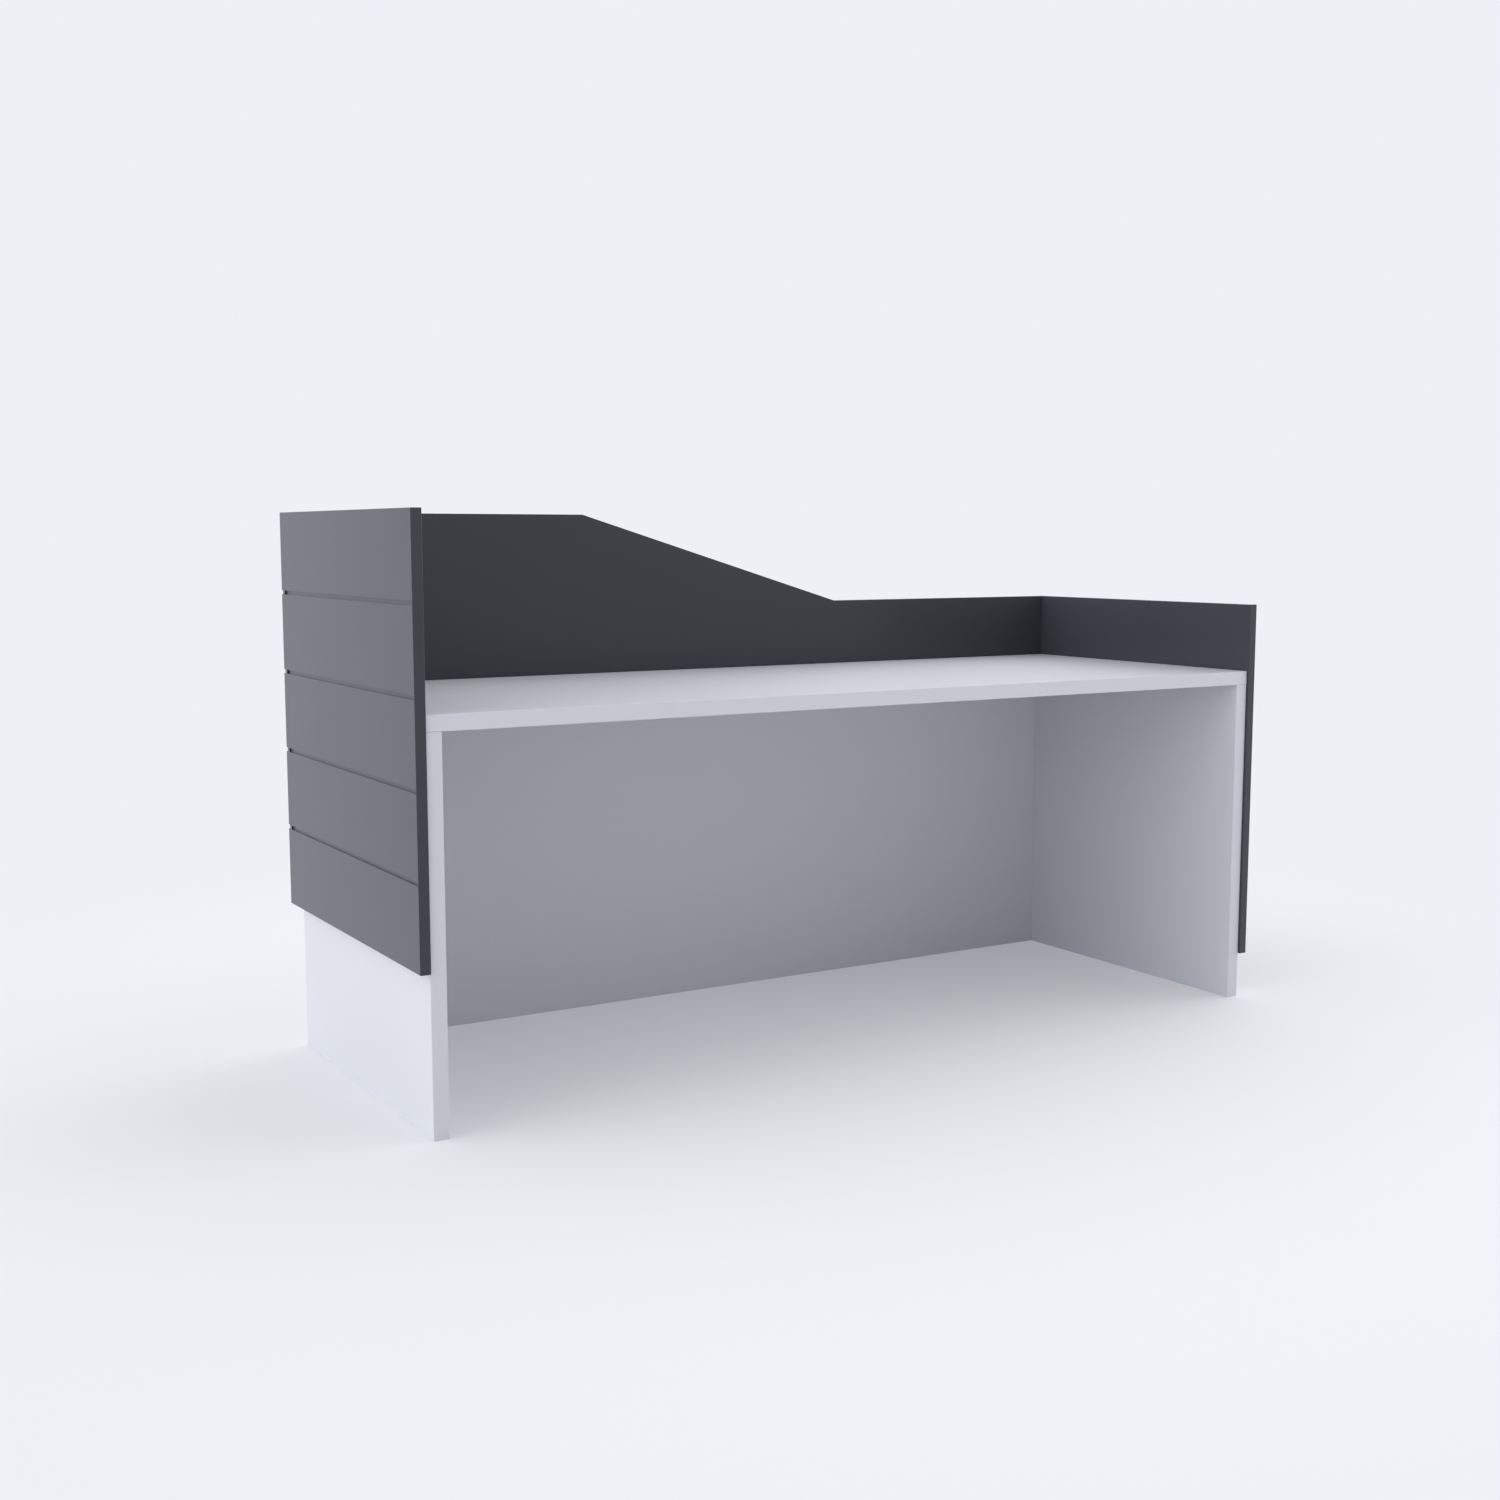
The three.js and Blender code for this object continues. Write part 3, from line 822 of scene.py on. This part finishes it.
def fit(model, node, place, out=UP, along=AHEAD, body="desk"):
    """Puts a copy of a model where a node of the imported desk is."""
    choose_only(model)
    bpy.ops.object.duplicate(linked=False)
    piece = bpy.context.object
    piece.name = f"{node}_fitting"
    turn = Matrix((along.cross(out), along, out)).transposed().to_4x4()
    piece.matrix_world = Matrix.Translation(place) @ turn
    bpy.ops.object.transform_apply(location=True, rotation=True, scale=True)
    enrol(piece, SLOTS[node], body, node)


models = {
    "worktop_cam": cam(SIDE_CAM_DEPTH),
    "worktop_bolt": cam_bolt(SIDE_CAM_DEPTH),
    "modesty_cam": cam(MODESTY_CAM_DEPTH),
    "modesty_bolt": cam_bolt(MODESTY_CAM_DEPTH),
    "dowel": dowel(),
    "plate": hanging_plate(),
    "side_screw": hanging_screw(SIDE_GRIP),
    "front_screw": hanging_screw(FRONT_GRIP),
    "sleeve": foot_sleeve(),
    "foot": levelling_foot(),
}
for name, model in models.items():
    model.name = f"{name}_model"
    smooth(model)

# %% [markdown]
# A side panel carries cams and dowels for the worktop, feet in their sleeves, and screws in its outer face
# for the cladding. The modesty panel's cams pull towards the side panels. A foot rides on its own body,
# because it screws out, and its sleeve stays with the desk.

# %% Fittings of the two sides
front_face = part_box("modesty_panel")[1].y
for side, outward in SIDES.items():
    out = Vector((outward, 0, 0))
    panel_low, panel_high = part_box(f"{side}_side_panel")
    side_face = panel_low.x if outward < 0 else panel_high.x
    for row in ROWS:
        label = f"worktop_{side}_{row}"
        place = at_face(f"{label}_cam", "X", side_face)
        fit(models["worktop_cam"], f"{label}_cam", place, out, UP)
        fit(models["worktop_bolt"], f"{label}_bolt", place, out, UP)
        fit(models["dowel"], f"{label}_dowel", middle_of(f"{label}_dowel"))
        foot = f"{side}_{row}_levelling_foot"
        place = at_face(foot, "Z", 0)
        fit(models["foot"], foot, place, body=foot)
        fit(models["sleeve"], f"{side}_{row}_foot_sleeve", place)
    for level in LEVELS:
        label = f"modesty_{side}_{level}"
        place = at_face(f"{label}_cam", "Y", front_face)
        fit(models["modesty_cam"], f"{label}_cam", place, AHEAD, out)
        fit(models["modesty_bolt"], f"{label}_bolt", place, AHEAD, out)
    for row in HANGER_ROWS:
        label = f"{side}_{row}_hanger"
        place = at_face(f"{label}_screw", "X", side_face)
        fit(models["side_screw"], f"{label}_screw", place, out, UP)
        fit(models["plate"], f"{label}_plate", place, out, UP)

# %% [markdown]
# The dowels along the modesty panel locate the worktop, and the screws in its face carry the front
# cladding. The models have then done their work and are deleted.

# %% Fittings of the front
for row in MODESTY_DOWELS:
    fit(models["dowel"], f"modesty_{row}_dowel", middle_of(f"modesty_{row}_dowel"))
for row in FRONT_HANGERS:
    label = f"front_{row}_hanger"
    place = at_face(f"{label}_screw", "Y", front_face)
    fit(models["front_screw"], f"{label}_screw", place, AHEAD, UP)
    fit(models["plate"], f"{label}_plate", place, AHEAD, UP)
for model in models.values():
    bpy.data.objects.remove(model)
print(len(pieces), "pieces stand for", len(frame["nodes"]), "nodes")

# %% [markdown]
# ## Shader sums
# A finish is a small sum of noises, and sums read best as Python. A Wire stands for a socket, and adding,
# subtracting or multiplying wires adds Math nodes. Every other node comes from one method, which takes the
# node's type, its settings, and the values or wires of its inputs.

# %% Wires and node trees
class Wire:
    """A socket of a node tree that can be added, subtracted and multiplied."""

    def __init__(self, maker, socket):
        self.maker = maker
        self.socket = socket

    def maths(self, operation, other):
        """A Math node of this wire and another wire or number."""
        return self.maker.node("ShaderNodeMath", {"operation": operation}, {0: self, 1: other})

    def __add__(self, other):
        return self.maths("ADD", other)

    def __radd__(self, other):
        return self.maths("ADD", other)

    def __sub__(self, other):
        return self.maths("SUBTRACT", other)

    def __rsub__(self, other):
        return self.maker.node("ShaderNodeMath", {"operation": "SUBTRACT"}, {0: other, 1: self})

    def __mul__(self, other):
        return self.maths("MULTIPLY", other)

    def __rmul__(self, other):
        return self.maths("MULTIPLY", other)


class Tree:
    """A node tree under construction."""

    def __init__(self, tree):
        self.tree = tree

    def node(self, kind, settings=None, inputs=None, output=0):
        """Adds a node, sets it up, feeds its inputs and returns one of its outputs."""
        made = self.tree.nodes.new(kind)
        for name, value in (settings or {}).items():
            setattr(made, name, value)
        for name, value in (inputs or {}).items():
            self.feed(made.inputs[name], value)
        return Wire(self, made.outputs[output])

    def feed(self, socket, value):
        """Links a wire to a socket, or sets the socket to a number or colour."""
        if isinstance(value, Wire):
            self.tree.links.new(value.socket, socket)
        else:
            socket.default_value = value


# %% [markdown]
# A finish is one Principled shader. All its patterns are placed by Object coordinates, which stay with a
# board wherever it is taken. A Mix node has a set of sockets for each kind of value, and a colour uses the
# third set.

# %% Finishes
MIX_FACTOR = 0
MIX_FIRST_COLOUR = 6
MIX_SECOND_COLOUR = 7
MIX_RESULT = 2


class Finish(Tree):
    """A material with one Principled shader."""

    def __init__(self, name, **constants):
        self.material = bpy.data.materials.new(name)
        self.material.use_nodes = True
        super().__init__(self.material.node_tree)
        self.shader = self.tree.nodes["Principled BSDF"]
        self.place = self.node("ShaderNodeTexCoord", output="Object")
        for socket, value in constants.items():
            self.shader.inputs[socket.replace("_", " ")].default_value = value

    def noise(self, scale, detail=2.0, stretch=(1, 1, 1)):
        """Noise from 0 to 1, with so many lumps to a metre."""
        place = self.node("ShaderNodeMapping", inputs={"Vector": self.place, "Scale": stretch})
        return self.node("ShaderNodeTexNoise", inputs={"Vector": place, "Scale": scale, "Detail": detail})

    def mix(self, factor, first, second):
        """A colour between two colours."""
        colours = {MIX_FACTOR: factor, MIX_FIRST_COLOUR: first, MIX_SECOND_COLOUR: second}
        return self.node("ShaderNodeMix", {"data_type": "RGBA"}, colours, MIX_RESULT)

    def surface(self, colour, roughness, height, depth, strength):
        """Feeds the colour, the roughness and a bump of the given depth in metres to the shader."""
        self.feed(self.shader.inputs["Base Color"], colour)
        self.feed(self.shader.inputs["Roughness"], roughness)
        bump = self.node("ShaderNodeBump", inputs={"Height": height, "Distance": depth, "Strength": strength})
        self.feed(self.shader.inputs["Normal"], bump)
        return self.material


# %% [markdown]
# ## White melamine and its edge strip
# Melamine-faced board is pressed against a plate with a fine pearl grain, about a millimetre across. From a
# step away it only softens the reflections. The colour is a clean white with a trace of blue, and it drifts
# by a hair from place to place. The edge strip is moulded plastic in the same white. It is smoother, with
# faint lines that the trimming cutter leaves.

# %% White finishes
WHITE = (0.628, 0.642, 0.678, 1)
WHITE_DRIFT = (0.608, 0.622, 0.658, 1)
WHITE_IOR = 1.45


def white_melamine():
    finish = Finish("white_melamine", IOR=WHITE_IOR)
    drift = finish.noise(scale=3, detail=3)
    pearl = finish.noise(scale=1100)
    colour = finish.mix(drift * 0.6 + pearl * 0.2, WHITE, WHITE_DRIFT)
    roughness = 0.42 + drift * 0.08 + pearl * 0.06
    return finish.surface(colour, roughness, pearl, depth=0.03 * MM, strength=0.5)


def white_strip():
    finish = Finish("white_edge_strip", IOR=WHITE_IOR)
    drift = finish.noise(scale=5)
    trimming = finish.noise(scale=900, detail=1, stretch=(0.02, 1, 1))
    colour = finish.mix(drift * 0.7, WHITE, WHITE_DRIFT)
    return finish.surface(colour, 0.36 + trimming * 0.08, trimming, depth=0.02 * MM, strength=0.4)


# %% [markdown]
# ## Anthracite board
# The cladding has a satin dark grey face. Seen square on it is nearly black. Seen along the board it
# mirrors the pale background and has a soft bluish haze, which is why the outer face at the left looks much
# lighter in the photograph. A lighter colour would spoil the inner faces, so the mirror comes from the
# shader's own gloss and the haze from its sheen.

# %% Dark finishes
ANTHRACITE = (0.043, 0.045, 0.053, 1)
ANTHRACITE_DRIFT = (0.039, 0.041, 0.049, 1)
SATIN = {"IOR": 1.32, "Sheen_Weight": 0.205, "Sheen_Roughness": 0.5, "Sheen_Tint": (0.74, 0.87, 1, 1)}


def anthracite():
    finish = Finish("anthracite_satin", **SATIN)
    drift = finish.noise(scale=4, detail=3)
    pearl = finish.noise(scale=1300)
    colour = finish.mix(drift * 0.7 + pearl * 0.3, ANTHRACITE, ANTHRACITE_DRIFT)
    roughness = 0.2 + drift * 0.05 + pearl * 0.04
    return finish.surface(colour, roughness, pearl, depth=0.02 * MM, strength=0.5)


def anthracite_strip():
    finish = Finish("anthracite_edge_strip", **SATIN)
    drift = finish.noise(scale=6)
    trimming = finish.noise(scale=900, detail=1, stretch=(1, 1, 0.02))
    colour = finish.mix(drift, ANTHRACITE, ANTHRACITE_DRIFT)
    return finish.surface(colour, 0.24 + trimming * 0.1, trimming, depth=0.02 * MM, strength=0.4)


# %% [markdown]
# ## Zinc, steel, beech and plastic
# Cams are cast zinc, dull and slightly pitted. Bolts, screws, plates and sleeves are plated steel. Dowels
# are beech, with grain along their length. The feet are black moulded plastic on a steel stem, and one
# material serves both: it turns to steel above the foot's hub.

# %% Finishes of the fittings
ZINC_DARK = (0.42, 0.43, 0.44, 1)
ZINC_LIGHT = (0.55, 0.56, 0.57, 1)
STEEL_COOL = (0.56, 0.58, 0.61, 1)
STEEL_WARM = (0.66, 0.66, 0.65, 1)
BEECH_LIGHT = (0.66, 0.46, 0.26, 1)
BEECH_DARK = (0.46, 0.29, 0.14, 1)
BLACK_PLASTIC = (0.018, 0.018, 0.02, 1)
STEM_STEEL = (0.6, 0.61, 0.63, 1)
FITTING_IOR = 1.5
HUB_TOP = 9.1 * MM


def zinc():
    finish = Finish("cast_zinc", Metallic=1.0)
    cast = finish.noise(scale=900, detail=4)
    colour = finish.mix(cast, ZINC_DARK, ZINC_LIGHT)
    return finish.surface(colour, 0.38 + cast * 0.2, cast, depth=0.05 * MM, strength=0.6)


def steel():
    finish = Finish("plated_steel", Metallic=1.0)
    plating = finish.noise(scale=300, detail=3)
    turning = finish.noise(scale=2500, detail=1)
    colour = finish.mix(plating, STEEL_COOL, STEEL_WARM)
    roughness = 0.22 + plating * 0.12 + turning * 0.06
    return finish.surface(colour, roughness, turning, depth=0.01 * MM, strength=0.4)


def beech():
    finish = Finish("beech", IOR=FITTING_IOR)
    grain = finish.noise(scale=1500, detail=3, stretch=(1, 1, 0.06))
    fleck = finish.noise(scale=3500, detail=1, stretch=(1, 1, 0.2))
    colour = finish.mix(grain * 0.8 + fleck * 0.2, BEECH_LIGHT, BEECH_DARK)
    return finish.surface(colour, 0.6 + grain * 0.2, grain, depth=0.05 * MM, strength=0.6)


def foot_plastic():
    finish = Finish("foot_plastic_and_stem", IOR=FITTING_IOR)
    grain = finish.noise(scale=1800)
    height = finish.node("ShaderNodeSeparateXYZ", inputs={0: finish.place}, output="Z")
    is_stem = height.maths("GREATER_THAN", HUB_TOP)
    colour = finish.mix(is_stem, BLACK_PLASTIC, STEM_STEEL)
    finish.feed(finish.shader.inputs["Metallic"], is_stem)
    roughness = 0.55 - is_stem * 0.3 + grain * 0.1
    return finish.surface(colour, roughness, grain, depth=0.03 * MM, strength=0.5)


# %% [markdown]
# Every piece takes the finish of the slot that it was enrolled with. An edge strip has the slot of its
# board, and takes the strip's version of that finish.

# %% Hand out the finishes
finishes = {
    "white_board": white_melamine(),
    "white_strip": white_strip(),
    "dark_board": anthracite(),
    "dark_strip": anthracite_strip(),
    "zinc": zinc(),
    "steel": steel(),
    "beech": beech(),
    "foot_plastic": foot_plastic(),
}


def coat(piece, finish):
    """Gives a piece one finish all over."""
    piece.data.materials.clear()
    piece.data.materials.append(finish)


for name, (piece, slot) in pieces.items():
    is_strip = name.endswith("strip")
    coat(piece, finishes[slot.replace("board", "strip") if is_strip else slot])
print(len(pieces), "pieces have a finish")

# %% [markdown]
# ## Light and background
# The desk stands in soft light from all round, so there are no hard shadows. Most of it comes from the left
# and the right, some from the visitor's side and from above, and little from behind the camera. Lamps would
# each need a large diffuser, so the world itself is the set of diffusers here: a dim dome plus broad glows.
# A glow is the cosine of the angle to its middle, raised to a power that says how narrow it is.

# %% Studio light
PALE = (0.865, 0.873, 0.915, 1)
LIGHT_TINT = (0.985, 0.99, 1.015, 1)
DOME = 0.15
LEFT = (-1, 0, 0)
UPPER_LEFT = (-0.7071, 0, 0.7071)
RIGHT = (1, 0, 0)
VISITOR_SIDE = (0, 1, 0)
ABOVE = (0, 0, 1)
# Each glow has an aim, a narrowness and a brightness.
GLOWS = [
    (LEFT, 1, 0.55),
    (LEFT, 4, 1.65),
    (LEFT, 16, 2.3),
    (UPPER_LEFT, 4, 0.45),
    (RIGHT, 1, 1.3),
    (RIGHT, 4, 2.45),
    (VISITOR_SIDE, 1, 0.66),
    (ABOVE, 16, 0.65),
]


def seen_directly(tree):
    """1 for a ray from the camera, or one that a mirror or a pane sends on, and 0 for light."""
    camera_ray = tree.node("ShaderNodeLightPath", output="Is Camera Ray")
    glossy_ray = tree.node("ShaderNodeLightPath", output="Is Glossy Ray")
    clear_ray = tree.node("ShaderNodeLightPath", output="Is Transmission Ray")
    return camera_ray.maths("MAXIMUM", glossy_ray).maths("MAXIMUM", clear_ray)


def studio_world():
    """The glows to everything that is lit, and a plain pale background to the camera."""
    world = bpy.data.worlds.new("studio")
    world.use_nodes = True
    bpy.context.scene.world = world
    tree = Tree(world.node_tree)
    direction = tree.node("ShaderNodeTexCoord", output="Generated")
    strength = DOME
    for aim, narrowness, brightness in GLOWS:
        ways = {0: direction, 1: aim}
        facing = tree.node("ShaderNodeVectorMath", {"operation": "DOT_PRODUCT"}, ways, "Value")
        strength = strength + brightness * facing.maths("MAXIMUM", 0).maths("POWER", narrowness)
    light = tree.node("ShaderNodeBackground", inputs={"Color": LIGHT_TINT, "Strength": strength})
    backdrop = tree.node("ShaderNodeBackground", inputs={"Color": PALE, "Strength": 1.0})
    both = tree.node("ShaderNodeMixShader", inputs={0: seen_directly(tree), 1: light, 2: backdrop})
    tree.feed(world.node_tree.nodes["World Output"].inputs["Surface"], both)
    print("studio light:", len(GLOWS), "glows")


studio_world()
bpy.context.scene.view_settings.view_transform = "Standard"

# %% [markdown]
# ## Floor
# The floor is a wide plane of pale paint. Near the desk the camera sees it lightened a little by a pale glow
# mixed in: painted light that lifts the desk's shadow, as the even fill in a studio would. Further out it
# fades into the background, so no horizon shows.

# %% Studio floor
FLOOR_SIZE = 120
FLOOR_PAINT = (0.835, 0.84, 0.86, 1)
FLOOR_DRIFT = (0.825, 0.83, 0.85, 1)
FLOOR_IOR = 1.2
SHADOW_FILL = 0.22
FADE_START = 0.8
FADE_END = 2.5


def studio_floor():
    """A wide plane on the floor."""
    bpy.ops.object.select_all(action="DESELECT")
    bpy.ops.mesh.primitive_plane_add(size=FLOOR_SIZE, location=(0, 0, 0))
    floor = bpy.context.object
    floor.name = "floor"
    finish = Finish("floor_paint", IOR=FLOOR_IOR)
    cloud = finish.noise(scale=0.6)
    grain = finish.noise(scale=400)
    paint = finish.mix(cloud * 0.6 + grain * 0.4, FLOOR_PAINT, FLOOR_DRIFT)
    finish.surface(paint, 0.85 + grain * 0.1, grain, depth=0.01 * MM, strength=0.2)
    # Near the desk a share of pale glow is mixed in for the camera: painted light on the desk's shadow.
    distance = finish.node("ShaderNodeVectorMath", {"operation": "LENGTH"}, {0: finish.place}, "Value")
    ramp = {
        "Value": distance,
        "From Min": FADE_START,
        "From Max": FADE_END,
        "To Min": SHADOW_FILL,
        "To Max": 1.0,
    }
    fade = finish.node("ShaderNodeMapRange", {"interpolation_type": "SMOOTHSTEP"}, ramp)
    glow = finish.node("ShaderNodeEmission", inputs={"Color": PALE, "Strength": 1.0})
    painted = Wire(finish, finish.shader.outputs[0])
    both = finish.node("ShaderNodeMixShader", inputs={0: fade * seen_directly(finish), 1: painted, 2: glow})
    finish.feed(finish.tree.nodes["Material Output"].inputs["Surface"], both)
    coat(floor, finish.material)
    print("floor:", FLOOR_SIZE, "m wide, faded out by", FADE_END, "m")


studio_floor()
